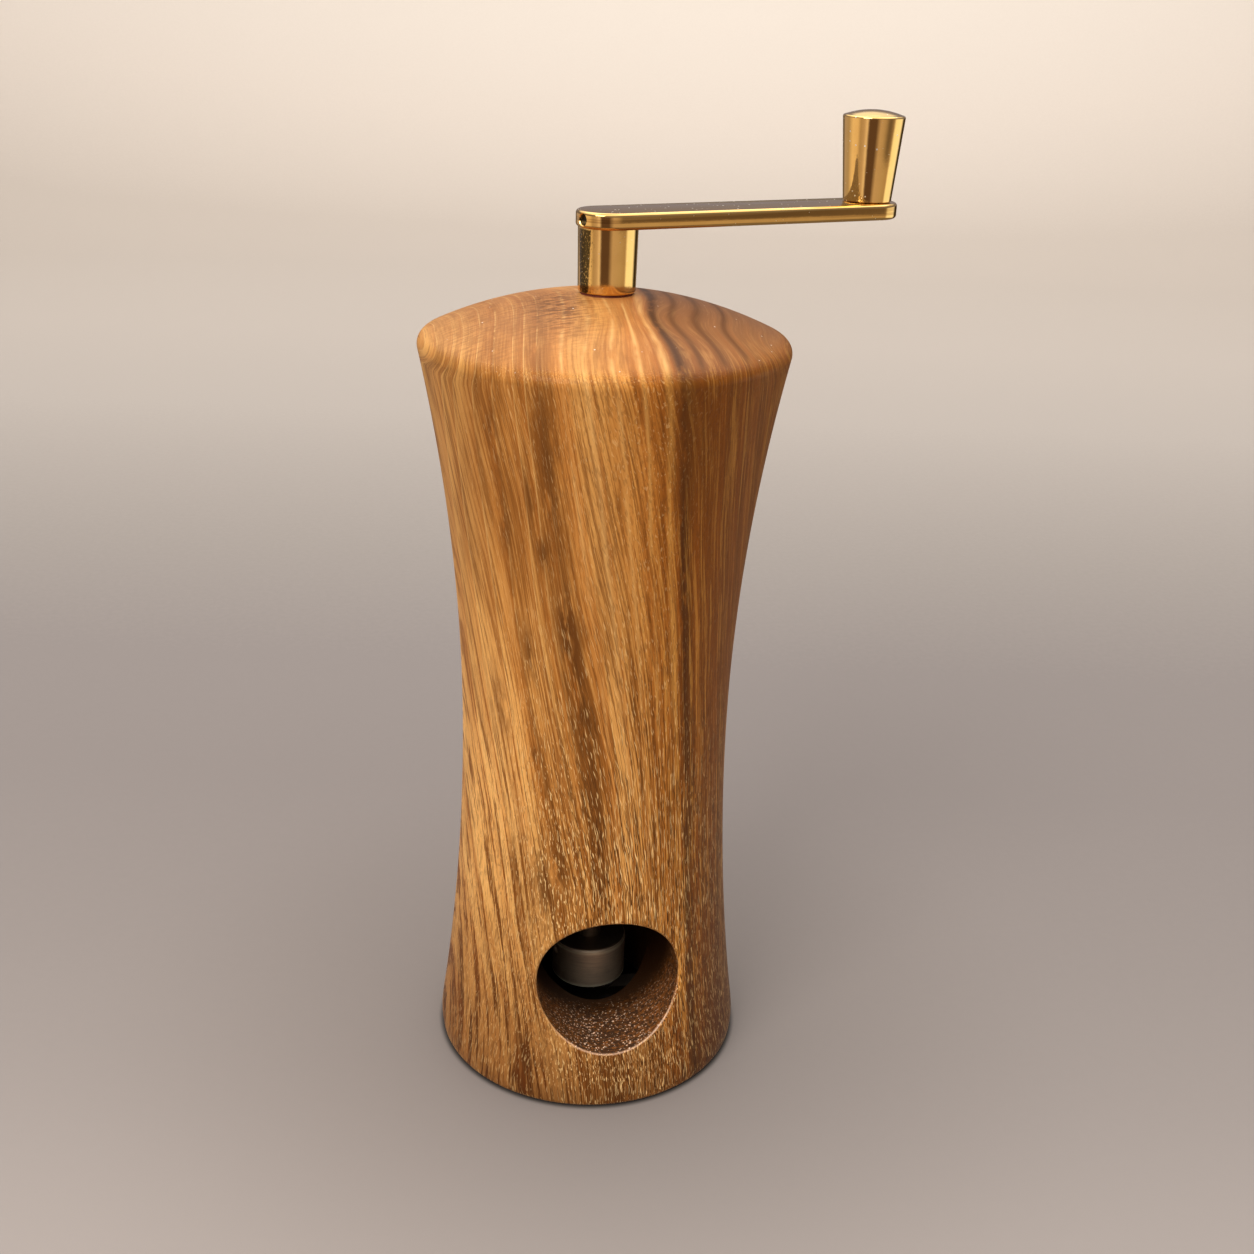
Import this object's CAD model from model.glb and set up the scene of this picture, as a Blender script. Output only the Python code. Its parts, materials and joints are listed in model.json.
"""Looks of the nutmeg grinder, laid out as a Blender add-on and run as a script.

Lengths inside the functions are in millimetres unless a line says otherwise, and the meshes are in metres.
"""

import json
from math import acos, asin, atan, atan2, cos, pi, radians, sin, sqrt

import bmesh
import bpy
from bpy.props import FloatProperty, FloatVectorProperty, IntProperty, PointerProperty
from mathutils import Matrix, Vector


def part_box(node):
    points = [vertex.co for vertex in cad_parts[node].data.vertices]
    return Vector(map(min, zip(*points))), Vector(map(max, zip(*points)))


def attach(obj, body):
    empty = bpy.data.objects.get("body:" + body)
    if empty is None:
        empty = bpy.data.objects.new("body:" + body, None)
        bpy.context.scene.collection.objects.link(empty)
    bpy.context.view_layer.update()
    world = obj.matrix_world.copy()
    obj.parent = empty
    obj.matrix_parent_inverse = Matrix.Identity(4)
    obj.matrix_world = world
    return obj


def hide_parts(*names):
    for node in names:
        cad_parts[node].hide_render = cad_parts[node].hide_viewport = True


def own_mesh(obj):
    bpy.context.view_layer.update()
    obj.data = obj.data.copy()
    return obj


bl_info = {
    "name": "Nutmeg grinder",
    "version": (1, 0, 0),
    "blender": (4, 5, 0),
    "location": "3D View > Sidebar > Grinder",
    "description": "Turned wood, polished brass and dull steel for the packed nutmeg grinder",
    "category": "Object",
}

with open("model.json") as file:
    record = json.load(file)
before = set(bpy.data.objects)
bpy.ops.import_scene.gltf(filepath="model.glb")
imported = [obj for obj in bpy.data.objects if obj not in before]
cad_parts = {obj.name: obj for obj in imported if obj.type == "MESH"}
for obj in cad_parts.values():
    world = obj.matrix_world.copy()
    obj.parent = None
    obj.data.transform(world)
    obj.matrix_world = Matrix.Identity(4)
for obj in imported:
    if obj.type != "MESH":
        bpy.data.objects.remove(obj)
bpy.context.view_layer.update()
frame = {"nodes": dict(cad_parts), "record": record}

MM = 0.001
TURN = 2 * pi
SEED = 0.001
MERGE = 0.000001
CUT = 1.0
BUSH_FIT = 0.02
SMOOTH_ANGLE = radians(32)
CAMERA_TURN = radians(10.63)
FLOOR_REACH = 2000.0


def top_of(node):
    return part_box(node)[1].z / MM


def foot_of(node):
    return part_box(node)[0].z / MM


# Small helpers for properties


def length(name, value, description):
    return FloatProperty(
        name=name, description=description, default=value * MM, min=0, unit="LENGTH", precision=5
    )


def colour(name, value, description):
    return FloatVectorProperty(
        name=name, description=description, default=value, size=3, min=0, max=1, subtype="COLOR"
    )


def in_mm(group):
    """The lengths of a property group in millimetres, by name."""
    return {
        key: getattr(group, key) / MM
        for key, prop in group.bl_rna.properties.items()
        if prop.type == "FLOAT" and prop.unit == "LENGTH"
    }


# Sizes and colours


class BodySizes(bpy.types.PropertyGroup):
    base_d: length("Base", 60, "Widest diameter, just above the foot")
    base_z: length("Base height", 3, "Height of the widest place")
    foot_bulge: length("Foot bulge", 16, "Radius of the bulge round the foot")
    foot_edge: length("Foot edge", 0.8, "Rounding of the lower edge")
    waist_d: length("Waist", 50.5, "Diameter of the waist")
    waist_z: length("Waist height", 69.5, "Height of the waist")
    rim_d: length("Rim", 65.592, "Diameter where the side would meet the dome")
    rim_z: length("Rim height", 141.8, "Height where the side would meet the dome")
    rim_round: length("Rim rounding", 2.2, "Rounding of the rim")
    dome_h: length("Dome", 7.8, "Rise of the dome above the rim")
    chamber_d: length("Chamber", 24, "Diameter of the nutmeg chamber")
    mouth_d: length("Mouth", 27, "Diameter of the side mouth")
    mouth_z: length("Mouth height", 25, "Height of the mouth's axis")
    mouth_depth: length("Mouth depth", 6, "How far the mouth is drilled past the axis")
    lip_round: length("Mouth lip", 0.6, "Rounding of the mouth's lip")
    recess_d: length("Recess", 45.04, "Diameter of the recess under the foot")
    edge_break: length("Broken edges", 0.25, "Small chamfer on turned inner edges")


class WoodLook(bpy.types.PropertyGroup):
    straw: colour("Straw", (0.72, 0.37, 0.105), "Lightest wood")
    honey: colour("Honey", (0.6, 0.255, 0.056), "Middle tone")
    amber: colour("Amber", (0.45, 0.18, 0.034), "Darker middle tone")
    russet: colour("Russet", (0.43, 0.125, 0.012), "Reddish bands")
    walnut: colour("Walnut", (0.215, 0.07, 0.008), "Dark bands")
    ink: colour("Ink", (0.06, 0.02, 0.004), "Darkest lines and pores")
    ring_gap: length("Ring gap", 3.1, "Distance between rings")


class MetalLook(bpy.types.PropertyGroup):
    brass: colour("Brass", (0.86, 0.58, 0.21), "Polished brass")
    steel: colour("Steel", (0.56, 0.54, 0.51), "Ground steel")
    dull: colour("Dull steel", (0.74, 0.6, 0.45), "Turned steel of the gripper and the shaft")
    dark: colour("Blackened steel", (0.07, 0.07, 0.075), "Blackened steel of the small fasteners")
    fibre: colour("Fibre", (0.2, 0.035, 0.02), "Vulcanised fibre")


class CrankSizes(bpy.types.PropertyGroup):
    arm_len: length("Arm length", 52.6, "Distance between the arm's centres")
    arm_w: length("Arm width", 11.1, "Width of the arm")
    arm_t: length("Arm thickness", 2.8, "Thickness of the arm")
    arm_edge: length("Arm edge", 0.6, "Rounding of the arm's edges")
    hub_top_d: length("Hub top", 10.3, "Diameter of the hub under the arm")
    hub_foot_d: length("Hub foot", 10.0, "Diameter of the hub at its foot")
    hub_edge: length("Hub edge", 0.35, "Rounding of the hub's foot")
    bore_d: length("Bore", 5.04, "Bore for the shaft")
    roof_t: length("Roof", 0.7, "Brass left over the shaft's end")
    grub_hole_d: length("Grub hole", 1.84, "Hole for the grub screw")
    stem_hole_d: length("Stem hole", 4.1, "Hole for the knob's screw")
    sink_d: length("Countersink", 6.5, "Countersink for the knob's screw")
    arm_angle: FloatProperty(name="Arm angle", description="Direction of the arm at rest",
                             default=radians(17), subtype="ANGLE")
    grub_angle: FloatProperty(name="Grub angle", description="Turn of the grub screw from the arm",
                              default=radians(192), subtype="ANGLE")


class KnobSizes(bpy.types.PropertyGroup):
    foot_d: length("Knob foot", 8.8, "Diameter where the knob meets the arm")
    top_d: length("Knob top", 11.192, "Diameter at the top")
    side_h: length("Knob side", 14.5, "Height of the side")
    edge: length("Knob edge", 0.4, "Rounding of the top edge")
    dome: length("Knob dome", 0.8998, "Rise of the domed top")
    bore_d: length("Knob bore", 3.04, "Hole for the screw's thread")
    bore_h: length("Knob bore depth", 8.1, "Depth of that hole")


class SpringSizes(bpy.types.PropertyGroup):
    coil_d: length("Coil", 10, "Mean diameter of the coil")
    wire_d: length("Wire", 1, "Diameter of the wire")
    bend_r: length("End bend", 1.5, "Radius of the wire's bends at its ends")
    turns: IntProperty(name="Turns", description="Number of turns", default=14, min=4)


# Modelling with Blender's own tools


def leave_all():
    """Object mode with nothing selected."""
    if bpy.context.object and bpy.context.object.mode != "OBJECT":
        bpy.ops.object.mode_set(mode="OBJECT")
    bpy.ops.object.select_all(action="DESELECT")


def take(piece):
    """Selects one piece alone and makes it the active one."""
    leave_all()
    piece.select_set(True)
    bpy.context.view_layer.objects.active = piece


def edit(piece):
    take(piece)
    bpy.ops.object.mode_set(mode="EDIT")


def new_piece(name):
    """Names the primitive that was just added."""
    piece = bpy.context.object
    piece.name = name
    piece.data.name = name
    return piece


def draw_line(name, points):
    """A chain of edges through the points, drawn on from one vertex by extrusion."""
    leave_all()
    bpy.ops.mesh.primitive_plane_add(size=SEED)
    piece = new_piece(name)
    bpy.ops.object.mode_set(mode="EDIT")
    bpy.ops.mesh.select_mode(type="VERT")
    bpy.ops.mesh.merge(type="CENTER")
    here = Vector((0, 0, 0))
    for number, point in enumerate(points):
        there = Vector(point) * MM
        if number == 0:
            bpy.ops.transform.translate(value=there - here)
        else:
            extrude(there - here)
        here = there
    return piece


def extrude(way):
    bpy.ops.mesh.extrude_region_move(TRANSFORM_OT_translate={"value": way})


def pick(kind):
    """Takes up vertices, edges or faces, with none selected."""
    bpy.ops.mesh.select_mode(type=kind)
    bpy.ops.mesh.select_all(action="DESELECT")


def face_out(inside=False):
    """Selects all and turns the faces one way."""
    bpy.ops.mesh.select_all(action="SELECT")
    bpy.ops.mesh.normals_make_consistent(inside=inside)


def close_up():
    """Merges doubles, turns the faces outward and leaves edit mode."""
    bpy.ops.mesh.select_all(action="SELECT")
    bpy.ops.mesh.remove_doubles(threshold=MERGE)
    bpy.ops.mesh.normals_make_consistent(inside=False)
    bpy.ops.object.mode_set(mode="OBJECT")


def turned(name, outline, steps, centre=(0, 0), closed=True):
    """A turned piece: the outline of (radius, height) points is spun round an upright axis."""
    points = [(centre[0] + r, centre[1], z) for r, z in outline]
    if closed:
        points.append(points[0])
    piece = draw_line(name, points)
    bpy.ops.mesh.select_all(action="SELECT")
    bpy.ops.mesh.spin(
        steps=steps, angle=TURN, center=(centre[0] * MM, centre[1] * MM, 0), axis=(0, 0, 1)
    )
    close_up()
    return piece


def arc(centre, radius, start, end, count):
    """Points on an arc, angles in radians, both ends included."""
    angles = (start + (end - start) * k / count for k in range(count + 1))
    return [(centre[0] + radius * cos(a), centre[1] + radius * sin(a)) for a in angles]


def angle_of(point, centre):
    return atan2(point[1] - centre[1], point[0] - centre[0])


def combine(piece, others, operation):
    """Cuts or joins other pieces into a piece with applied Boolean modifiers."""
    for other in others:
        modifier = piece.modifiers.new(operation, "BOOLEAN")
        modifier.operation = operation
        modifier.solver = "EXACT"
        modifier.object = other
        take(piece)
        bpy.ops.object.modifier_apply(modifier=modifier.name)
        bpy.data.objects.remove(other)


def rod(name, radius, low, high, sides=64, centre=(0, 0)):
    """A plain upright rod, used to cut holes."""
    leave_all()
    bpy.ops.mesh.primitive_cylinder_add(
        vertices=sides,
        radius=radius * MM,
        depth=(high - low) * MM,
        location=(centre[0] * MM, centre[1] * MM, (low + high) / 2 * MM),
    )
    piece = new_piece(name)
    settle(piece)
    return piece


def settle(piece):
    """Puts the piece's place into its mesh, so that its object sits unturned at the origin."""
    take(piece)
    bpy.ops.object.transform_apply(location=True, rotation=True, scale=True)


def turn_round(piece, angle):
    """Turns a finished piece about the shaft's axis."""
    piece.rotation_euler = (0, 0, angle)
    settle(piece)


def soften(piece):
    take(piece)
    bpy.ops.object.shade_smooth_by_angle(angle=SMOOTH_ANGLE)


def dress(piece, body, slot, *nodes):
    """Smooths a piece and gives it its material, its body, its slot and the nodes that it stands for."""
    soften(piece)
    piece.data.materials.clear()
    piece.data.materials.append(finish(slot))
    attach(piece, body)
    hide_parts(*nodes)


# Shader graphs


def both_ways(operation):
    """An arithmetic operator and its reflected form, each one maths node."""
    return (
        lambda self, other: self.graph.math(operation, self, other),
        lambda self, other: self.graph.math(operation, other, self),
    )


class Signal:
    """An output socket, so that shader maths reads as plain arithmetic."""

    def __init__(self, graph, socket):
        self.graph = graph
        self.socket = socket

    __add__, __radd__ = both_ways("ADD")
    __sub__, __rsub__ = both_ways("SUBTRACT")
    __mul__, __rmul__ = both_ways("MULTIPLY")
    __truediv__, __rtruediv__ = both_ways("DIVIDE")

    def peak(self, centre, width):
        """1 at the centre, falling off like a bell."""
        away = (self - centre) / width
        return self.graph.math("EXPONENT", away * away * -1)

    def step(self, low, high, to_low=0, to_high=1):
        """A smooth step from one value to another."""
        return self.graph.node(
            "ShaderNodeMapRange",
            {"interpolation_type": "SMOOTHSTEP", "clamp": True},
            {"Value": self, "From Min": low, "From Max": high, "To Min": to_low, "To Max": to_high},
        )


class Graph:
    """A node tree with one way to add a node."""

    def __init__(self, tree):
        self.tree = tree
        self.tree.nodes.clear()

    def node(self, kind, settings=None, inputs=None, output=0):
        """Adds a node, sets its own settings, then the values or links of its sockets."""
        made = self.tree.nodes.new(kind)
        for key, value in (settings or {}).items():
            if key == "stops":
                self.set_stops(made.color_ramp, value)
            else:
                setattr(made, key, value)
        for key, value in (inputs or {}).items():
            if isinstance(value, Signal):
                self.tree.links.new(value.socket, made.inputs[key])
            elif value is not None:
                made.inputs[key].default_value = value
        return Signal(self, made.outputs[output]) if made.outputs else made

    def set_stops(self, ramp, stops):
        while len(ramp.elements) < len(stops):
            ramp.elements.new(1.0)
        for element, (place, tone) in zip(ramp.elements, stops):
            element.position, element.color = place, (*tone, 1.0)

    def math(self, operation, first, second=None):
        return self.node("ShaderNodeMath", {"operation": operation}, {0: first, 1: second})

    def far(self, first, second):
        """The length of the hypotenuse over two sides."""
        return self.math("SQRT", first * first + second * second)

    def place(self):
        """Object coordinates in millimetres."""
        raw = self.node("ShaderNodeTexCoord", output=3)
        return self.node("ShaderNodeVectorMath", {"operation": "SCALE"}, {0: raw, "Scale": 1 / MM})

    def parts(self, vector):
        made = self.node("ShaderNodeSeparateXYZ", {}, {0: vector}).socket.node
        return [Signal(self, socket) for socket in made.outputs]

    def vector(self, x, y, z):
        return self.node("ShaderNodeCombineXYZ", {}, {0: x, 1: y, 2: z})

    def noise(self, vector, scale, detail=2.0, roughness=0.5):
        return self.node(
            "ShaderNodeTexNoise",
            {"noise_dimensions": "3D"},
            {"Vector": vector, "Scale": scale, "Detail": detail, "Roughness": roughness},
        )

    def cells(self, vector, scale):
        return self.node("ShaderNodeTexVoronoi", {}, {"Vector": vector, "Scale": scale})

    def mix(self, factor, first, second, blend="MIX"):
        """A mix of two colours, each a triple or a signal."""
        first, second = ((*c, 1.0) if isinstance(c, tuple) else c for c in (first, second))
        settings = {"data_type": "RGBA", "blend_type": blend, "clamp_factor": True}
        return self.node("ShaderNodeMix", settings, {0: factor, 6: first, 7: second}, 2)

    def ramp(self, value, stops):
        return self.node("ShaderNodeValToRGB", {"stops": stops}, {"Fac": value})

    def bump(self, height, depth, strength=1.0):
        """A bump whose height signal runs over about one unit for the depth in millimetres."""
        return self.node(
            "ShaderNodeBump", {}, {"Strength": strength, "Distance": depth * MM, "Height": height}
        )

    def surface(self, inputs):
        shader = self.node("ShaderNodeBsdfPrincipled", {}, inputs)
        self.node("ShaderNodeOutputMaterial", {}, {"Surface": shader})


def mixed(first, second, share):
    """A plain colour between two others."""
    return tuple(a + (b - a) * share for a, b in zip(first, second))


def new_material(name):
    material = bpy.data.materials.new(name)
    material.use_nodes = True
    return material, Graph(material.node_tree)


TONES = ("straw", "honey", "amber", "russet", "walnut", "ink")
BLACK = (0, 0, 0)
DOME_Z = 142
CHAMBER_TOP = 62
# Broad bands: place across the trunk, and the tone
WOOD_BANDS = (
    (-36, "honey"), (-30, "straw"), (-20, "straw"), (-18, "honey"), (-16.4, "amber", "walnut", 0.3),
    (-14.6, "honey"), (-12.8, "straw"), (-11, "amber"), (-9, "amber", "walnut", 0.6),
    (-7.2, "amber", "walnut", 0.75), (-5.6, "amber"), (-4.2, "honey"), (-0.5, "honey", "straw", 0.7),
    (2.6, "honey", "amber", 0.3), (3.6, "honey", "straw", 0.3), (5.6, "russet", "honey", 0.4),
    (6.6, "honey", "amber", 0.3), (8.4, "russet", "walnut", 0.25), (9.4, "honey", "straw", 0.4),
    (10.4, "russet", "walnut", 0.3), (11.6, "walnut", "ink", 0.6), (13.6, "walnut", "ink", 0.2),
    (16, "walnut", "russet", 0.2), (21, "walnut"), (28, "walnut", "amber", 0.3),
    (35, "walnut", "amber", 0.6),
)
# Light ring lines of the middle, and dark lines of the dome: place across the trunk and width
RING_LINES = ((-3.6, 0.28), (-0.4, 0.42), (3.1, 0.34), (6.1, 0.3), (9.4, 0.55))
DOME_LINES = ((11.6, 0.8), (15, 0.7), (18.8, 0.9), (23.5, 0.6))
# Spots of the long smudge: height, half length and strength
SPOTS = ((96, 8, 1), (79, 7, 0.8), (61, 9, 0.8), (46, 5, 0.6), (128, 14, 0.6))
# Smaller smudges: place across the trunk, height, half width and half length
SMUDGES = (
    (-10.2, 111, 1.2, 3.5), (-16.4, 115, 1.1, 6), (-14.8, 92, 1, 6), (-20.8, 80, 0.8, 5),
    (-16.8, 130, 0.8, 6), (-11.5, 121, 0.8, 5), (-23, 46, 0.8, 7), (-17, 72, 0.5, 2.5),
    (-5.2, 41, 0.4, 2.5), (-19, 45, 1.8, 9), (-15.8, 51, 1.3, 7),
)
# Thin dark threads of the upper half: place across the trunk
THREADS = (-13.4, -9, -5.6, 2, 5.2, 8.2, 14.6, 18.2, 21.4)


class Wood:
    """Oiled wood while it is built up: its places and masks, and the shade that its layers change."""

    def __init__(self, name):
        look = bpy.context.scene.grinder_wood
        self.sizes = in_mm(bpy.context.scene.grinder_body)
        self.ring_gap = look.ring_gap / MM
        self.tones = {key: tuple(getattr(look, key)) for key in TONES}
        self.material, self.g = new_material(name)
        g = self.g
        self.here = g.place()
        self.x, self.y, self.z = x, y, z = g.parts(self.here)
        self.on_dome = z.step(DOME_Z, DOME_Z + 1.5)
        self.off_dome = 1 - self.on_dome
        self.lowness = z.step(112, 34)
        high = g.math("MINIMUM", z, DOME_Z)

        # Place across the trunk: it leans in the left half, and the rings bend on the dome
        lean = (x.peak(-11, 13) * 0.085 + 0.07) * (high - 90)
        fan = y.step(-31, -6) * y.step(24, 0) * x.step(5, -7, 0.2, 3)
        bow = y.peak(-14.5, 7) * x.step(-2, 9) * 2.4
        swing = (fan - bow) * z.step(DOME_Z - 4, DOME_Z + 0.5)
        wave = g.noise(g.vector(x * 0.5, y * 0.3, z * 0.16), 0.12, 1)
        self.u = x + lean - swing + (wave - 0.5) * 2.2

        # Place across the fibres, which slant more than the bands and turn upright at the left foot
        slant = (g.math("MAXIMUM", high, 46) - 90) * x.step(15, 2, 0, 0.09)
        curve = (high - 62) * (high - 62) * 0.0011 - 4
        self.fibre = self.u + slant + (curve - slant) * x.step(-5, -19)

    def tone(self, first, second="ink", share=0):
        """A colour between two, each a plain colour or the name of a tone."""
        first, second = (self.tones.get(c, c) for c in (first, second))
        return mixed(first, second, share)

    def coat(self, factor, *tone):
        """Mixes a tone over the shade."""
        self.shade = self.g.mix(factor, self.shade, self.tone(*tone))

    def dim(self, factor, tint):
        """Multiplies the shade by a tint."""
        self.shade = self.g.mix(factor, self.shade, tint, "MULTIPLY")


def lay_bands(w):
    """Broad bands across the trunk, and larger patches of the same tones."""
    g, u, z = w.g, w.u, w.z
    half = 36
    stops = [((place + half) / (2 * half), w.tone(*tone)) for place, *tone in WOOD_BANDS]
    w.shade = g.ramp((u + half) / (2 * half), stops)
    upper_left = z.step(82, 118) * u.step(-4.5, -8.5) * u.step(-25, -17, 0.25, 1)
    w.coat(upper_left * 0.7, "amber", "walnut", 0.12)
    w.coat(z.step(100, 72) * u.step(-16.5, -22) * 0.55, (0.8, 0.45, 0.155))
    w.coat(z.step(75, 55) * u.peak(-7.5, 6.5) * 0.45, "amber")


def lay_fibres(w):
    """Clouds, and coarse and fine fibres along the trunk."""
    g, y, z = w.g, w.y, w.z
    w.coarse = g.noise(g.vector(w.fibre, y * 0.04, z * 0.01), 0.7, 3, 0.6)
    w.fine = g.noise(g.vector(w.fibre, y * 0.04, z * 0.014), 2.6, 4, 0.72)
    cloud = g.noise(g.vector(w.u, y * 0.3, z * 0.12), 0.35, 3, 0.6)
    strength = (w.lowness * 0.45 + 0.6) * (1 - w.on_dome * 0.5)
    w.coat(cloud.step(0.44, 0.66) * 0.5, "walnut", "amber", 0.25)
    w.coat(cloud.step(0.45, 0.3) * 0.35, "straw")
    w.coat(w.coarse.step(0.5, 0.66) * strength * 0.55, "walnut")
    w.coat(w.coarse.step(0.46, 0.34) * strength * 0.35, "straw")
    w.coat(w.fine.step(0.5, 0.575) * strength, "walnut", "ink", 0.2)
    w.coat(w.fine.step(0.475, 0.4) * strength * 0.75, "straw")


def lay_rings(w):
    """Yearly rings: a slow darkening that ends in a thin light line."""
    g, u, y, z = w.g, w.u, w.y, w.z
    stretched = u + (g.noise(g.vector(u, 3, 0), 0.11, 2) - 0.5) * 9
    phase = g.math("FRACT", stretched / w.ring_gap)
    w.coat(phase.step(0.15, 1) * 0.28, "russet")
    line = phase.step(0.13, 0.02) * u.step(-3, -6)
    for ring, width in RING_LINES:
        line = line + u.peak(ring, width)
    faded = g.noise(g.vector(u, y * 0.2, z * 0.08), 0.9, 2)
    line = line * z.step(40, 120, 0.35, 1) * faded.step(0.3, 0.6)
    w.coat(line * (w.on_dome * 0.35 + 0.45), "straw", (0.9, 0.6, 0.25), 0.35)


def lay_dome(w):
    """The dome's darker tones, its dark ring lines and the hatched patch beside the hub."""
    g, u, x, y, on_dome = w.g, w.u, w.x, w.y, w.on_dome
    w.coat(on_dome * y.step(-26, -6, 0.16, 0.4), (0.33, 0.15, 0.062))
    dark = on_dome * u.step(8.5, 13) * y.step(-25, -12, 0.35, 1)
    w.coat(dark * 0.42, (0.2, 0.088, 0.036))
    lines = sum(u.peak(place, width) for place, width in DOME_LINES)
    w.coat(lines * on_dome * 0.75, "walnut", "ink", 0.7)
    hatch = g.noise(g.vector(x * 0.35, y * 1.7, 0), 0.9, 3, 0.7)
    patch = (x.peak(-9.5, 6) * y.peak(-7, 12) + x.peak(-24, 6) * 0.35) * on_dome
    w.coat(patch * 0.35, "walnut", "amber", 0.4)
    w.coat(patch * hatch.step(0.45, 0.56), "walnut", "ink", 0.45)


def lay_smudges(w):
    """Dark smudges, thin dark threads and a dark line down the right half."""
    g, u, y, z = w.g, w.u, w.y, w.z
    broken = g.noise(g.vector(u * 0.9, y * 0.5, z * 0.22), 0.55, 3, 0.6)
    spots = sum(z.peak(height, tall) * share for height, tall, share in SPOTS) + 0.1
    stain = u.peak(-7.6, 1.8) * spots * 1.15
    for place, height, wide, tall in SMUDGES:
        stain = stain + u.peak(place, wide) * z.peak(height, tall) * 0.8
    stain = stain * broken.step(0.34, 0.52) * y.step(6, -4)
    w.coat(stain * 1.1, "walnut", "ink", 0.45)
    thread = u.peak(-16.3, 0.55) * broken.step(0.42, 0.56)
    upper = broken.step(0.46, 0.58) * z.step(60, 90) * w.off_dome
    for place in THREADS:
        thread = thread + u.peak(place, 0.3) * upper
    w.coat(thread * 0.6, "walnut")
    w.coat(u.peak(11.6, 0.7) * broken.step(0.36, 0.5) * 0.8, "ink")


def lay_light_and_dark(w):
    """Large lighter and darker places: the foot, a pale streak, the rim and the right side."""
    g, u, x, z, off_dome = w.g, w.u, w.x, w.z, w.off_dome
    pale = z.peak(62, 28) * (x.step(-13, -16.5) + u.peak(0.5, 3) * 0.7)
    pale = pale + z.peak(50, 13) * x.peak(2, 7) * 0.6
    w.dim(z.step(43, 30) * x.step(-7, -15) * 0.72, (0.72, 0.66, 0.6))
    w.dim(pale * 0.5, (1.26, 1.28, 1.34))
    w.dim(z.step(14, 8) * x.peak(-2, 11) * 0.45, (0.62, 0.6, 0.58))
    w.dim(z.step(92, 112) * x.step(-20, -25) * off_dome * 0.8, (0.8, 0.78, 0.76))
    w.coat(u.peak(13, 4) * z.step(112, 128) * off_dome * 0.6, "walnut", "ink", 0.5)
    w.dim(z.step(32, 3) * 0.85, (0.5, 0.42, 0.36))
    w.coat(u.step(13, 18) * (0.3 - w.on_dome * 0.3), "walnut", "ink", 0.6)
    w.dim(x.step(13, 25) * z.step(75, 20) * 0.9, (0.52, 0.44, 0.34))
    w.dim(u.step(-2, 12) * off_dome, (0.95, 0.87, 0.58))


def lay_pores(w):
    """Short pores and their light filling, which get denser towards the foot."""
    g, u, x, y, z, lowness = w.g, w.u, w.x, w.y, w.z, w.lowness
    across = w.fibre + (g.noise(g.vector(x, y, z * 0.5), 0.8, 1) - 0.5) * 0.7
    thin = g.noise(g.vector(across, y, z * 0.022), 4.4, 1) + lowness * 0.03
    light = g.noise(g.vector(across + 40, y, z * 0.055), 5.2, 1) + lowness * 0.025
    w.pores = thin.step(0.562, 0.63) * w.off_dome * u.step(-18, -8, 0.4, 1)
    flecks = light.step(0.62, 0.7) * (lowness * 0.75 + 0.25) * (w.off_dome * 0.8 + 0.2)
    flecks = flecks * u.step(-26, -14, 0.3, 1) * x.step(11, 17, 1, 0.5)
    w.flecks = flecks * (1 - u.step(8.5, 11.5) * z.step(60, 90) * 0.7)
    w.coat(w.pores * (lowness * 0.75 + 0.25), "walnut", "ink", 0.8)
    w.coat(w.flecks * 0.9, (1.0, 0.68, 0.3))


def lay_bores(w):
    """The drilled mouth and the chamber: end grain, dark, scratched and specked."""
    g, x, y, z = w.g, w.x, w.y, w.z
    bore_r, chamber_r = w.sizes["mouth_d"] / 2, w.sizes["chamber_d"] / 2
    inward = z - w.sizes["mouth_z"]
    from_mouth = g.far(x, inward)
    mouth = from_mouth.step(bore_r + 0.14, bore_r + 0.02) * y.step(14, 12)
    chamber = g.far(x, y).step(chamber_r + 1.2, chamber_r + 0.3)
    chamber = chamber * z.step(CHAMBER_TOP + 1, CHAMBER_TOP + 0.3)
    w.inside = g.math("MAXIMUM", mouth, chamber)
    low_right = (inward - x * 0.25).step(-1, -13) * 0.85 + 0.15
    w.lip = from_mouth.peak(bore_r + 0.2, 0.12) * y.step(-15, -18) * low_right
    drilled = g.noise(g.vector(x * 0.15, y * 2.4, z * 0.5), 1, 3, 0.7)
    mottle = g.noise(w.here, 1.6, 3, 0.7)
    specks = g.cells(w.here, 2).step(0.36, 0.24) * mottle.step(0.46, 0.55)
    w.specks = specks * (x.peak(-1, 10) * 0.8 + 0.2)
    burnt = x.peak(-1, 8) * inward.step(-6.5, -11.5) * mottle.step(0.62, 0.46)
    dark, darkest = w.tone("ink", BLACK, 0.5), w.tone("ink", BLACK, 0.6)
    wall = g.mix(mottle.step(0.42, 0.58), dark, w.tone("walnut", "ink", 0.35))
    for factor, tone in (
        (drilled.step(0.55, 0.61) * 0.5, w.tone("russet")),
        (burnt * 0.8, darkest),
        (w.specks, (1.0, 0.76, 0.58)),
        (y.step(-20, -11.5), darkest),
    ):
        wall = g.mix(factor, wall, tone)
    w.shade = g.mix(w.inside, w.shade, wall)
    w.coat(w.lip * 0.4, (0.8, 0.52, 0.36))


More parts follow.
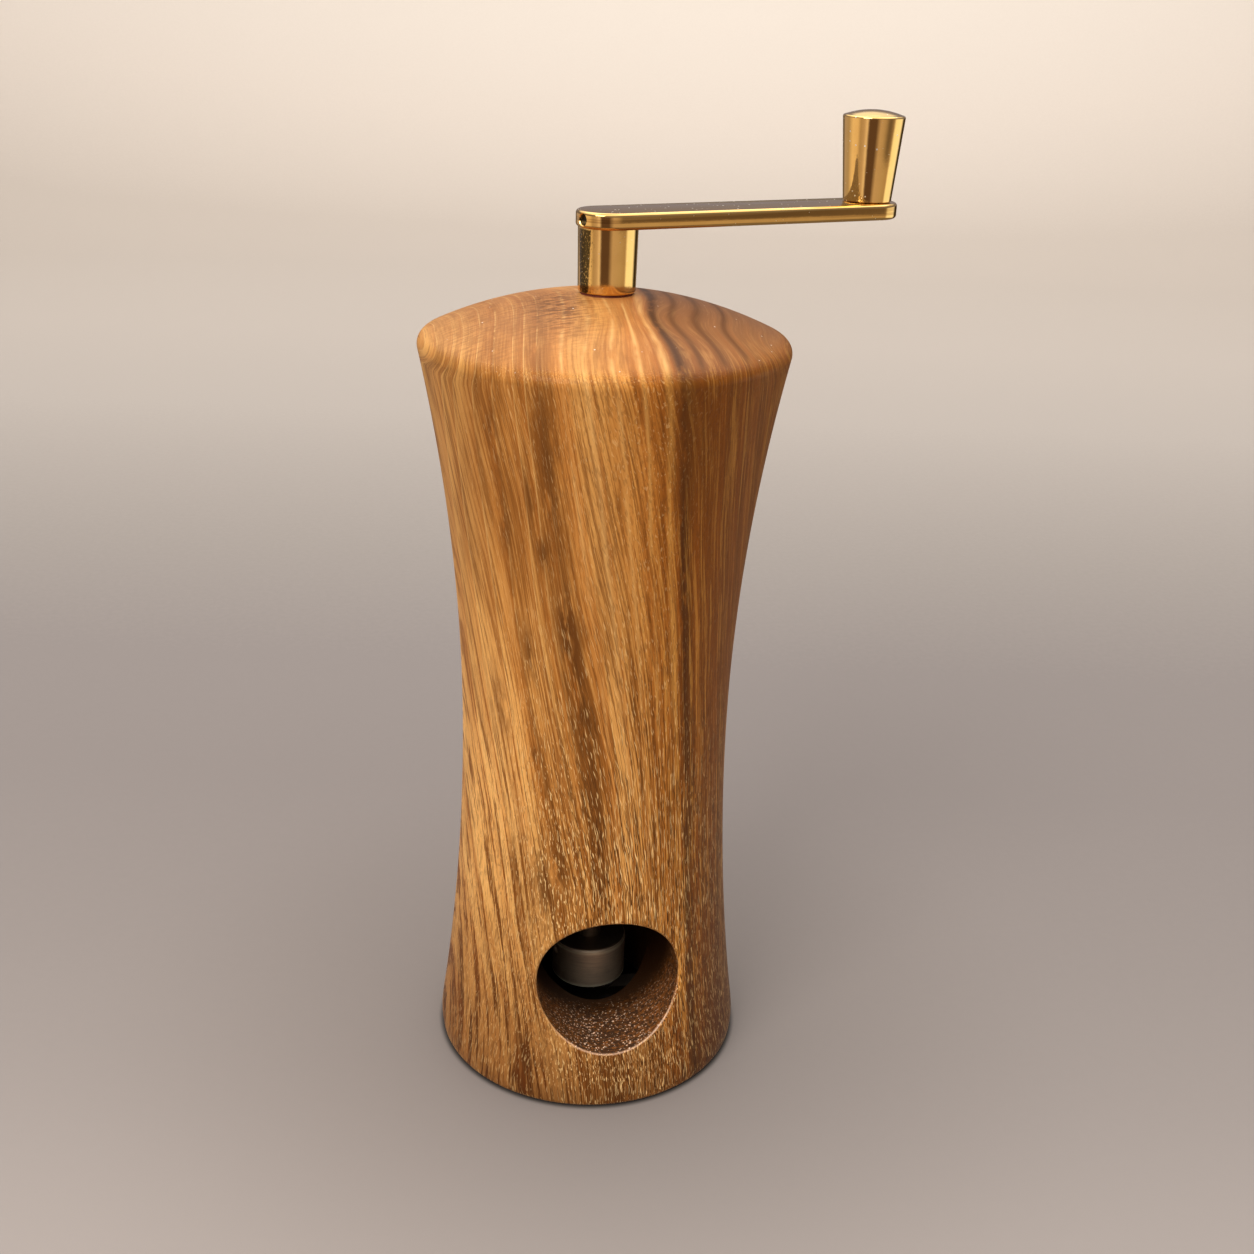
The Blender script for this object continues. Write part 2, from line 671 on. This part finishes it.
def wood_material(name):
    """Oiled wood: the layers over each other, with a little dust on the dome."""
    w = Wood(name)
    g = w.g
    for lay in (
        lay_bands, lay_fibres, lay_rings, lay_dome, lay_smudges, lay_light_and_dark, lay_pores, lay_bores,
    ):
        lay(w)
    dust = g.cells(w.here, 0.33).step(0.055, 0.035) * w.z.step(DOME_Z - 1, DOME_Z + 2)
    w.coat(dust * 0.8, (0.9, 0.84, 0.74))
    height = w.fine * 0.35 - w.pores * 0.9 + w.flecks * 0.3 + w.coarse * 0.4
    g.surface({
        "Base Color": w.shade,
        "Roughness": 0.4 + w.fine * 0.14 + w.inside * 0.06 + dust * 0.3,
        "Specular IOR Level": 0.16,
        "Coat Weight": w.lip * 0.9 + 0.03,
        "Coat Roughness": 0.14,
        "Normal": g.bump(height + w.inside * w.specks * 0.6, 0.05, 0.5),
    })
    return w.material


def brass_material(name):
    """Polished brass with faint ripples, fine scratches and specks, and tarnish on the hub's left."""
    brass = tuple(bpy.context.scene.grinder_metal.brass)
    top = top_of("crank")
    material, g = new_material(name)
    here = g.place()
    x, y, z = g.parts(here)
    cloud = g.noise(here, 0.22, 3, 0.6)
    hairs = g.noise(g.vector(x * 0.4, y * 0.4, z * 9), 1, 2, 0.6)
    specks = g.cells(here, 0.75).step(0.085, 0.05)
    shade = g.mix(cloud.step(0.35, 0.75) * 0.5, brass, mixed(brass, (0.5, 0.28, 0.08), 0.3))
    arm_side = z.step(top - 3, top - 2.7) * z.step(top - 0.05, top - 0.3)
    bands = g.noise(g.vector(x * 0.015, y * 0.015, z * 1.7), 1, 2, 0.6)
    shade = g.mix(arm_side * bands.step(0.42, 0.56) * 0.5, shade, (0.34, 0.18, 0.05))
    hub = z.step(top - 2.7, top - 3.1)
    hub_r = 5.1
    facing = (x * -0.88 + y * -0.475) / hub_r + (g.noise(here, 1.4, 3, 0.7) - 0.5) * 0.03
    tarnish = facing.step(0.945, 0.965) * g.noise(here, 3.6, 2).step(0.66, 0.6, 0.3, 0.96)
    shade = g.mix(hub * tarnish, shade, (0.045, 0.032, 0.012))
    pits = g.noise(g.vector(x, y, z * 0.7), 3.2, 2).step(0.6, 0.68) * facing.step(0.86, 0.98)
    shade = g.mix(hub * pits * 0.8, shade, (0.1, 0.06, 0.02))
    dust = g.cells(here, 0.62).step(0.12, 0.07) * z.step(top - 0.1, top - 0.02)
    specks = g.math("MAXIMUM", specks * 0.5, dust)
    shade = g.mix(specks, shade, (0.95, 0.9, 0.8))
    roughness = 0.06 + hairs.step(0.55, 0.8) * 0.06 + cloud * 0.05 + specks * 0.4
    ripple = g.noise(here, 0.55, 2, 0.5) + hairs * 0.05
    g.surface({
        "Base Color": shade,
        "Metallic": 1.0,
        "Roughness": roughness,
        "Normal": g.bump(ripple, 0.02, 0.6),
    })
    return material


def steel_material(name, tone, rough, scale, contrast, turned_marks=True, metallic=1.0):
    """Steel with turning or grinding marks. The gripper and the blade plate are dusty with nutmeg."""
    base = tuple(getattr(bpy.context.scene.grinder_metal, tone))
    material, g = new_material(name)
    here = g.place()
    x, y, z = g.parts(here)
    marks_at = g.vector(x * 0.2, y * 0.2, z * scale) if turned_marks else g.vector(x * scale, y * 0.3, z)
    marks = g.noise(marks_at, 1, 3, 0.65)
    blotch = g.noise(here, 0.3, 3, 0.6)
    darker = tuple(c * 0.55 for c in base)
    shade = g.mix(marks.step(0.35, 0.75) * contrast, base, darker)
    shade = g.mix(blotch.step(0.45, 0.8) * 0.5, shade, darker)
    if tone == "dull":
        top = top_of("gripper")
        for edge in (top - 0.72, foot_of("gripper") + 0.5):
            shade = g.mix(z.peak(edge, 0.34), shade, (1.0, 0.92, 0.72))
        dusty = z.step(top - 0.2, top - 0.08) * z.step(CHAMBER_TOP + 2, CHAMBER_TOP - 2)
        shade = g.mix(dusty * 0.8, shade, (0.07, 0.045, 0.025))
    if not turned_marks:
        reach, low, high = 12, 4.8, 9.5
        used = g.far(x, y).step(reach + 0.6, reach - 0.6)
        used = used * z.step(low - 0.2, low + 0.2) * z.step(high + 0.3, high - 0.2)
        shade = g.mix(used * 0.9, shade, (0.05, 0.035, 0.022))
    g.surface({
        "Base Color": shade,
        "Metallic": metallic,
        "Roughness": rough + marks * 0.14 + blotch * 0.08,
        "Normal": g.bump(marks, 0.02, 0.5),
    })
    return material


def fibre_material(name):
    """Pressed fibre: mottled, matt and dark red."""
    base = tuple(bpy.context.scene.grinder_metal.fibre)
    material, g = new_material(name)
    mottle = g.noise(g.place(), 2.2, 3, 0.7)
    shade = g.mix(mottle.step(0.4, 0.7) * 0.6, base, tuple(c * 0.4 for c in base))
    g.surface({"Base Color": shade, "Roughness": 0.6 + mottle * 0.15, "Normal": g.bump(mottle, 0.03)})
    return material


FINISHES = {
    "wood": ("oiled_wood", wood_material),
    "brass": ("polished_brass", brass_material),
    "steel": ("ground_steel", steel_material, "steel", 0.28, 6.0, 0.5, False),
    "dull_steel": ("dull_turned_steel", steel_material, "dull", 0.32, 7.0, 0.5, True, 0.85),
    "dark_steel": ("blackened_steel", steel_material, "dark", 0.4, 3.0, 0.4),
    "fibre": ("vulcanised_fibre", fibre_material),
}


def finish(slot):
    """The finished material of a slot, made once."""
    name, maker, *options = FINISHES[slot]
    return bpy.data.materials.get(name) or maker(name, *options)


# The turned body


class BodyShape:
    """The side view of the body: a bulge at the foot, two long hollows, a round rim and a dome."""

    def __init__(self, s):
        self.s = s
        base_r, waist_r, rim_r = s["base_d"] / 2, s["waist_d"] / 2, s["rim_d"] / 2
        self.bulge_x = base_r - s["foot_bulge"]
        rise = s["waist_z"] - s["base_z"]
        inward = waist_r - self.bulge_x
        self.low_arc = (inward**2 + rise**2 - s["foot_bulge"] ** 2) / (2 * (base_r - waist_r))
        share = s["foot_bulge"] / (s["foot_bulge"] + self.low_arc)
        self.bulge_top = s["base_z"] + rise * share
        flare = rim_r - waist_r
        climb = s["rim_z"] - s["waist_z"]
        self.high_arc = (flare**2 + climb**2) / (2 * flare)
        self.dome_top = s["rim_z"] + s["dome_h"]
        self.dome_arc = (rim_r**2 + s["dome_h"] ** 2) / (2 * s["dome_h"])
        self.dome_c = (0.0, self.dome_top - self.dome_arc)
        self.low_c = (waist_r + self.low_arc, s["waist_z"])
        self.high_c = (waist_r + self.high_arc, s["waist_z"])
        self.rim_c = self.rim_centre()

    def rim_centre(self):
        """Centre of the rim's rounding, which touches the upper hollow and the dome."""
        far = self.high_arc + self.s["rim_round"]
        near = self.dome_arc - self.s["rim_round"]
        way = Vector(self.high_c) - Vector(self.dome_c)
        gap = way.length
        along = (near**2 - far**2 + gap**2) / (2 * gap)
        aside = sqrt(near**2 - along**2)
        way.normalize()
        at = Vector(self.dome_c) + along * way + aside * Vector((-way.y, way.x))
        return (at.x, at.y)

    def radius(self, z):
        """Radius of the side at a height below the rim."""
        if z < self.bulge_top:
            return self.bulge_x + sqrt(self.s["foot_bulge"] ** 2 - (z - self.s["base_z"]) ** 2)
        centre, size = (
            (self.low_c, self.low_arc) if z < self.s["waist_z"] else (self.high_c, self.high_arc)
        )
        return centre[0] - sqrt(size**2 - (z - centre[1]) ** 2)

    def outside(self):
        """The outer side view from the foot's flat up to the hole in the dome."""
        s = self.s
        edge, bulge = s["foot_edge"], s["foot_bulge"]
        edge_x = self.bulge_x + sqrt((bulge - edge) ** 2 - (s["base_z"] - edge) ** 2)
        edge_c = (edge_x, edge)
        bulge_c = (self.bulge_x, s["base_z"])
        meet = angle_of(edge_c, bulge_c)
        flat = pi
        line = arc(edge_c, edge, -pi / 2, meet, 6)
        line += arc(bulge_c, bulge, meet, angle_of(self.low_c, bulge_c), 14)[1:]
        line += arc(self.low_c, self.low_arc, angle_of(bulge_c, self.low_c) % TURN, flat, 34)[1:]
        rim_side = angle_of(self.rim_c, self.high_c) % TURN
        line += arc(self.high_c, self.high_arc, flat, rim_side, 40)[1:]
        side_out = angle_of(self.high_c, self.rim_c)
        dome_out = angle_of(self.rim_c, self.dome_c)
        line += arc(self.rim_c, s["rim_round"], side_out, dome_out, 14)[1:]
        hole = acos((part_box("top_bush")[1].x / MM + BUSH_FIT) / self.dome_arc)
        line += arc(self.dome_c, self.dome_arc, dome_out, hole, 26)[1:]
        return line

    def lip_point(self, angle, share):
        """A point of the mouth's rounded lip: share 0 lies on the bore's wall, share 1 on the side."""
        ball = self.s["lip_round"]
        reach = self.s["mouth_d"] / 2 + ball
        cx = reach * cos(angle)
        cz = self.s["mouth_z"] + reach * sin(angle)
        z = cz
        for _ in range(8):
            slope = (self.radius(z + 0.01) - self.radius(z - 0.01)) / 0.02
            out = Vector((1, -slope)).normalized()
            z = cz + ball * out.y
        r = self.radius(z) - ball * out.x
        cy = -sqrt(r**2 - cx**2)
        around = atan2(cy, cx)
        face = Vector((out.x * cos(around), out.x * sin(around), out.y))
        wall = Vector((-cos(angle), 0, -sin(angle)))
        spread = wall.angle(face)
        way = (wall * sin((1 - share) * spread) + face * sin(share * spread)) / sin(spread)
        return Vector((cx, cy, cz)) + ball * way, face


def inside_outline(shape):
    """The stepped bore, from the hole in the dome down to the recess under the foot."""
    s = shape.s
    brk = s["edge_break"]
    flange, flange_t, bush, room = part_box("top_bush")[1].x / MM + BUSH_FIT, 1.0, 3.82, 7.0
    shoulder = top_of("top_bush") - flange_t
    roof, guide_top, plate = top_of("spring_top_washer"), top_of("guide_bush"), top_of("blade_plate")
    chamber, recess = s["chamber_d"] / 2, s["recess_d"] / 2
    return [
        (flange, shoulder), (bush, shoulder), (bush, roof + brk), (bush + brk, roof),
        (room, roof), (room, guide_top), (chamber, guide_top), (chamber, plate + brk),
        (chamber + brk, plate), (recess, plate), (recess, brk), (recess + brk, 0.0),
    ]


def mouth_cutter(shape):
    """A rod along the mouth's axis that flares round the lip."""
    s = shape.s
    sides, rows, inner, beyond = 192, 7, -14.0, 6.0
    leave_all()
    bpy.ops.mesh.primitive_cylinder_add(
        vertices=sides,
        radius=s["mouth_d"] / 2 * MM,
        depth=(s["mouth_depth"] - inner) * MM,
        location=(0, (s["mouth_depth"] + inner) / 2 * MM, s["mouth_z"] * MM),
        rotation=(pi / 2, 0, 0),
    )
    cutter = new_piece("mouth_cutter")
    settle(cutter)
    edit(cutter)
    pick("FACE")
    mesh = bmesh.from_edit_mesh(cutter.data)
    for face in mesh.faces:
        face.select_set(face.normal.y < -0.9 and len(face.verts) == sides)
    bmesh.update_edit_mesh(cutter.data)
    for row in range(rows + 2):
        extrude((0, 0, 0))
        mesh = bmesh.from_edit_mesh(cutter.data)
        for vertex in (v for v in mesh.verts if v.select):
            angle = atan2(vertex.co.z / MM - s["mouth_z"], vertex.co.x / MM)
            point, out = shape.lip_point(angle, min(row, rows) / rows)
            if row > rows:
                point = point + out * beyond
            vertex.co = point * MM
        bmesh.update_edit_mesh(cutter.data)
    close_up()
    return cutter


class GRINDER_OT_body(bpy.types.Operator):
    """Turned wooden body with its bores and the drilled side mouth"""

    bl_idname = "grinder.body"
    bl_label = "Turned body"

    def execute(self, context):
        shape = BodyShape(in_mm(context.scene.grinder_body))
        outline = shape.outside() + inside_outline(shape)
        body = turned("turned_body", outline, 240)
        cutters = [mouth_cutter(shape)]
        pilot_circle, pilot_r, pilot_low, pilot_high = 18.5, 1.47, 5.4, 12.42
        for degrees in (90, 210, 330):
            angle = radians(degrees)
            at = (pilot_circle * cos(angle), pilot_circle * sin(angle))
            cutters.append(rod("pilot_hole", pilot_r, pilot_low, pilot_high, 32, at))
        combine(body, cutters, "DIFFERENCE")
        dress(body, "base", "wood", "body")
        return {"FINISHED"}


# The brass crank and its knob


def crank_arm(s, low, high):
    """A round-ended bar with rounded edges, lying along X."""
    half, quarter = s["arm_w"] / 2, pi / 2
    ends = arc((0, 0), half, quarter, 3 * quarter, 48)
    ends += arc((s["arm_len"], 0), half, -quarter, quarter, 48)
    arm = draw_line("crank_arm", [(x, y, low) for x, y in ends + ends[:1]])
    bpy.ops.mesh.select_all(action="SELECT")
    bpy.ops.mesh.remove_doubles(threshold=MERGE)
    bpy.ops.mesh.edge_face_add()
    extrude((0, 0, (high - low) * MM))
    face_out()
    pick("EDGE")
    mesh = bmesh.from_edit_mesh(arm.data)
    for edge in mesh.edges:
        edge.select_set(abs(edge.verts[0].co.z - edge.verts[1].co.z) < MERGE)
    bmesh.update_edit_mesh(arm.data)
    bpy.ops.mesh.bevel(offset=s["arm_edge"] * MM, segments=6, affect="EDGES", clamp_overlap=False)
    close_up()
    return arm


def crank_hub(s, foot, top):
    foot_r, top_r, edge = s["hub_foot_d"] / 2, s["hub_top_d"] / 2, s["hub_edge"]
    root = top + 1.4
    outline = [(0, foot)] + arc((foot_r - edge, foot + edge), edge, -pi / 2, 0, 6)
    outline += [(top_r, top), (top_r, root), (0, root)]
    return turned("crank_hub", outline, 160)


def grub_hole(s, height, angle):
    """A sideways hole from the bore out through the arm's round end, with a broken edge."""
    radius = s["grub_hole_d"] / 2
    half = s["arm_w"] / 2
    brk = 0.22
    points = [(0, 0), (radius, 0), (radius, half - brk), (radius + 2 * brk, half + brk), (0, half + brk)]
    hole = turned("grub_hole", points, 48)
    hole.rotation_euler = (0, pi / 2, angle)
    hole.location = (0, 0, height * MM)
    settle(hole)
    return hole


class GRINDER_OT_crank(bpy.types.Operator):
    """Brass crank: a round-ended arm on a slightly conical hub, in one piece"""

    bl_idname = "grinder.crank"
    bl_label = "Crank"

    def execute(self, context):
        look = context.scene.grinder_crank
        s = in_mm(look)
        foot, top = foot_of("crank"), top_of("crank")
        under = top - s["arm_t"]
        arm = crank_arm(s, under, top)
        hub = crank_hub(s, foot, under)
        combine(arm, [hub], "UNION")
        bore = rod("bore", s["bore_d"] / 2, foot - CUT, top - s["roof_t"], 96)
        at_knob = (s["arm_len"], 0)
        stem = rod("stem_hole", s["stem_hole_d"] / 2, under - CUT, top + CUT, 96, at_knob)
        deep = (s["sink_d"] - s["stem_hole_d"]) / 2
        sink = turned("sink", [
            (0, under - CUT), (s["sink_d"] / 2 + CUT, under - CUT), (s["stem_hole_d"] / 2, under + deep),
            (0, under + deep)], 96, at_knob)
        grub = grub_hole(s, top - s["arm_t"] / 2, look.grub_angle)
        combine(arm, [bore, stem, sink, grub], "DIFFERENCE")
        arm.name = arm.data.name = "brass_crank"
        turn_round(arm, look.arm_angle)
        dress(arm, "rotor", "brass", "crank")
        return {"FINISHED"}


class GRINDER_OT_knob(bpy.types.Operator):
    """Conical brass knob with a shallow domed top"""

    bl_idname = "grinder.knob"
    bl_label = "Knob"

    def execute(self, context):
        s = in_mm(context.scene.grinder_knob)
        crank = context.scene.grinder_crank
        foot = foot_of("knob")
        top_r = s["top_d"] / 2
        cap_r = top_r - s["edge"]
        cap_arc = (cap_r**2 + s["dome"] ** 2) / (2 * s["dome"])
        side_top = foot + s["side_h"]
        cap_c = (0, side_top + s["edge"] + s["dome"] - cap_arc)
        spread = asin(cap_r / cap_arc)
        brk = 0.15
        bore = s["bore_d"] / 2
        outline = [(bore, foot), (s["foot_d"] / 2 - brk, foot), (s["foot_d"] / 2, foot + brk)]
        outline += arc((cap_r, side_top), s["edge"], 0, pi / 2, 8)
        outline += arc(cap_c, cap_arc, pi / 2 - spread, pi / 2, 16)[1:]
        outline += [(0, foot + s["bore_h"]), (bore, foot + s["bore_h"])]
        reach = crank.arm_len / MM
        knob = turned("brass_knob", outline, 160, (reach, 0))
        turn_round(knob, crank.arm_angle)
        dress(knob, "handle", "brass", "knob")
        return {"FINISHED"}


# The spring


def wire_route(s, turns, low, high):
    """Points along the wire: up from the lower seat, round the turns, up to the upper seat."""
    coil_r, bend = s["coil_d"] / 2, s["bend_r"]
    rise = high - low - 2 * (s["wire_d"] + bend)
    slope = atan(rise / (turns * TURN * coil_r))
    start = low + s["wire_d"] + bend * cos(slope)
    end = high - s["wire_d"] - bend * cos(slope)
    per_turn = 36
    bends = [slope + (pi / 2 - slope) * k / 8 for k in range(9)]
    places = [(0, bend * (sin(slope) - 1), low)]
    places += [(0, bend * (sin(slope) - sin(a)),
                start + bend * (cos(a) - cos(slope))) for a in reversed(bends)]
    last = turns * per_turn
    places += [(k * TURN / per_turn, 0, start + (end - start) * k / last) for k in range(1, last)]
    places += [(turns * TURN, bend * (sin(a) - sin(slope)),
                end + bend * (cos(slope) - cos(a))) for a in bends]
    places += [(turns * TURN, bend * (1 - sin(slope)), high)]
    return [(coil_r * cos(t) - step * sin(t), coil_r * sin(t) + step * cos(t), z)
            for t, step, z in places]


class GRINDER_OT_spring(bpy.types.Operator):
    """Compression spring: one round wire with its real turns, which flattens as the crank lifts"""

    bl_idname = "grinder.spring"
    bl_label = "Spring"

    def execute(self, context):
        sizes = context.scene.grinder_spring
        s = in_mm(sizes)
        low, high = foot_of("spring"), top_of("spring")
        wire = draw_line("spring_wire", wire_route(s, sizes.turns, low, high))
        bpy.ops.object.mode_set(mode="OBJECT")
        bpy.ops.object.convert(target="CURVE")
        wire = bpy.context.object
        wire.data.bevel_depth = s["wire_d"] / 2 * MM
        wire.data.bevel_resolution = 3
        wire.data.use_fill_caps = True
        bpy.ops.object.convert(target="MESH")
        spring = new_piece("steel_spring")
        edit(spring)
        close_up()
        dress(spring, "base", "steel", "spring")
        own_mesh(spring)
        return {"FINISHED"}


# Finishes of the carried-over pieces


class GRINDER_OT_finishes(bpy.types.Operator):
    """Materials of the turned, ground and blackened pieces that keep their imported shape"""

    bl_idname = "grinder.finishes"
    bl_label = "Finishes"

    def execute(self, context):
        slots = {part["node"]: part["material_slot"] for part in frame["record"]["subparts"]}
        for node, piece in frame["nodes"].items():
            for slot in piece.material_slots:
                slot.material = finish(slots[node])
        return {"FINISHED"}


# Floor, light and camera

# Tones of the floor by distance, as a share of its reach
FLOOR_TONES = (
    (0.0, (0.226, 0.203, 0.198)), (0.05, (0.21, 0.188, 0.185)), (0.09, (0.22, 0.198, 0.195)),
    (0.14, (0.27, 0.246, 0.235)), (0.24, (0.375, 0.342, 0.322)), (0.33, (0.418, 0.379, 0.352)),
    (0.45, (0.446, 0.403, 0.37)), (0.54, (0.494, 0.446, 0.408)), (0.68, (0.69, 0.63, 0.58)),
    (0.79, (0.82, 0.765, 0.71)),
)
# Light of the room low down and high up, by direction in degrees
GOLD, PALE = (0.62, 0.46, 0.36), (1.3, 1.22, 1.05)
BROWN, DARK = (0.13, 0.075, 0.055), (0.045, 0.032, 0.015)
LOW_LIGHT = (
    (-180, (0.3, 0.25, 0.2)), (-166, (0.1, 0.08, 0.05)), (-150, (0.52, 0.42, 0.38)),
    (-122, (0.5, 0.4, 0.32)), (-100, (0.98, 0.76, 0.56)), (-78, (0.92, 0.7, 0.5)),
    (-66, (0.52, 0.38, 0.27)), (-52, GOLD), (-41, (0.95, 0.76, 0.66)), (-33, BROWN), (-6, BROWN),
    (10, GOLD), (42, (0.56, 0.42, 0.3)), (62, (0.5, 0.36, 0.24)), (72, PALE), (106, PALE),
    (120, DARK), (136, DARK), (150, (0.25, 0.2, 0.15)), (180, (0.3, 0.25, 0.2)),
)
HIGH_LIGHT = (
    (-180, (1.45, 1.36, 1.22)), (-120, (1.2, 1.12, 1.0)), (-70, (0.62, 0.57, 0.5)),
    (-20, (0.5, 0.45, 0.38)), (30, (0.32, 0.28, 0.23)), (80, (0.34, 0.29, 0.24)),
    (120, (0.9, 0.82, 0.72)), (180, (1.45, 1.36, 1.22)),
)


def bearing(degrees):
    """A direction as a share of the way all round."""
    return (degrees + 180) / 360


def add_object(name, data):
    made = bpy.data.objects.new(name, data)
    bpy.context.scene.collection.objects.link(made)
    return made


def floor_material():
    """A pale floor that gets lighter towards the far wall."""
    material, g = new_material("pale_floor")
    x, y, z = g.parts(g.place())
    ahead = x * sin(CAMERA_TURN) + y * cos(CAMERA_TURN)
    away = g.math("ABSOLUTE", ahead + z)
    grain = (g.noise(g.place(), 0.5, 3, 0.6) - 0.5) * 60
    shade = g.ramp((away + grain) / FLOOR_REACH, FLOOR_TONES)
    near = ahead.peak(-85, 60)
    shade = g.mix(near * 0.7, shade, (0.33, 0.298, 0.288))
    off_axis = g.far(x, y)
    shade = g.mix(off_axis.step(110, 34) * 0.22, shade, (0.11, 0.095, 0.088))
    shade = g.mix(off_axis.step(31, 29.6) * 0.85, shade, (0.01, 0.008, 0.006))
    g.surface({"Base Color": shade, "Roughness": 0.8, "Specular IOR Level": 0.2})
    return material


def add_floor():
    """A turned floor with a wall all round, which mirrors don't see."""
    flat, bend, wall = 1000.0, 500.0, 800.0
    outline = [(0, 0), (90, 0), (300, 0), (600, 0)]
    outline += arc((flat, bend), bend, -pi / 2, 0, 20)
    outline.append((flat + bend, wall))
    floor = turned("pale_floor", outline, 96, closed=False)
    edit(floor)
    face_out(inside=True)
    soften(floor)
    floor.data.materials.append(floor_material())
    floor.visible_glossy = False


def add_softbox(name, place, target, size, power, tint):
    data = bpy.data.lights.new(name, "AREA")
    data.shape = "RECTANGLE"
    data.size, data.size_y = (side * MM for side in size)
    data.energy = power
    data.color = tint
    light = add_object(name, data)
    at, to = Vector(place) * MM, Vector(target) * MM
    light.location = at
    light.rotation_euler = (to - at).to_track_quat("-Z", "Y").to_euler()
    light.visible_camera = False


def add_room():
    """A soft room: bright above and behind, with dim and light bands low down for the brass."""
    world = bpy.data.worlds.new("soft_room")
    bpy.context.scene.world = world
    world.use_nodes = True
    g = Graph(world.node_tree)
    x, y, z = g.parts(g.node("ShaderNodeTexCoord", output=0))
    around = (g.math("ARCTAN2", x, y * -1) + pi) / TURN

    low = g.ramp(around, [(bearing(way), tone) for way, tone in LOW_LIGHT])
    arm_front = around.peak(bearing(48), 0.045) * z.step(-0.16, -0.145)
    low = g.mix(arm_front, low, (0.2, 0.145, 0.11))
    under = g.mix(z.step(-0.34, -0.42), low, (0.3, 0.25, 0.21))
    above = g.ramp(around, [(bearing(way), tone) for way, tone in HIGH_LIGHT])
    dim = (0.27, 0.24, 0.255)
    skyline = g.mix(z.step(0.015, 0.05), under, dim)
    whole = g.mix(z.step(0.32, 0.52), skyline, above)
    whole = g.mix(z.step(0.58, 0.74), whole, (2.35, 2.25, 2.12))
    whole = g.mix(z.step(0.9, 0.96), whole, (1.3, 1.2, 1.05))
    light = g.node("ShaderNodeBackground", {}, {"Color": whole, "Strength": 1.0})
    g.node("ShaderNodeOutputWorld", {}, {"Surface": light})


def add_camera():
    """The place, turn, tilt and roll that were found from the outline in the photograph."""
    data = bpy.data.cameras.new("photo_view")
    data.sensor_width = 36.0
    data.lens = 43.39
    data.clip_start = 0.01
    data.clip_end = 50
    camera = add_object("photo_view", data)
    turn, tilt, roll = CAMERA_TURN, radians(22.76), radians(2.05)
    ahead = Vector((sin(turn) * cos(tilt), cos(turn) * cos(tilt), -sin(tilt)))
    level = Vector((cos(turn), -sin(turn), 0))
    upright = level.cross(ahead)
    right = cos(roll) * level + sin(roll) * upright
    up = cos(roll) * upright - sin(roll) * level
    axes = Matrix((right, up, -ahead)).transposed().to_4x4()
    place = Vector((-42.75, -257.94, 197.1)) * MM
    camera.matrix_world = Matrix.Translation(place) @ axes
    bpy.context.scene.camera = camera


class GRINDER_OT_stage(bpy.types.Operator):
    """Pale floor that curves up all round, soft studio light and the camera"""

    bl_idname = "grinder.stage"
    bl_label = "Stage"

    def execute(self, context):
        context.scene.view_settings.view_transform = "Standard"
        add_floor()
        add_room()
        add_softbox("key", (-440, -500, 560), (0, 0, 60), (420, 420), 3.6, (1.0, 0.93, 0.84))
        add_softbox("wall", (300, 760, 1150), (350, 1500, 260), (900, 300), 2.2, (1.0, 0.93, 0.85))
        add_camera()
        return {"FINISHED"}


# The panel and the registration


PIECES = ("body", "crank", "knob", "spring", "finishes", "stage")
GROUPS = {
    "grinder_body": BodySizes,
    "grinder_wood": WoodLook,
    "grinder_metal": MetalLook,
    "grinder_crank": CrankSizes,
    "grinder_knob": KnobSizes,
    "grinder_spring": SpringSizes,
}


class GRINDER_PT_panel(bpy.types.Panel):
    """Lists the sizes, the colours and the pieces"""

    bl_idname = "GRINDER_PT_panel"
    bl_label = "Nutmeg grinder"
    bl_space_type = "VIEW_3D"
    bl_region_type = "UI"
    bl_category = "Grinder"

    def draw(self, context):
        for key, group in GROUPS.items():
            box = self.layout.box()
            for name in group.__annotations__:
                box.prop(getattr(context.scene, key), name)
        for piece in PIECES:
            self.layout.operator("grinder." + piece)


CLASSES = (
    *GROUPS.values(), GRINDER_OT_body, GRINDER_OT_crank, GRINDER_OT_knob, GRINDER_OT_spring,
    GRINDER_OT_finishes, GRINDER_OT_stage, GRINDER_PT_panel,
)


def register():
    for cls in CLASSES:
        bpy.utils.register_class(cls)
    for key, group in GROUPS.items():
        setattr(bpy.types.Scene, key, PointerProperty(type=group))


def unregister():
    for key in GROUPS:
        delattr(bpy.types.Scene, key)
    for cls in reversed(CLASSES):
        bpy.utils.unregister_class(cls)


def main():
    register()
    for piece in PIECES:
        getattr(bpy.ops.grinder, piece)()
    leave_all()


if __name__ == "__main__":
    main()
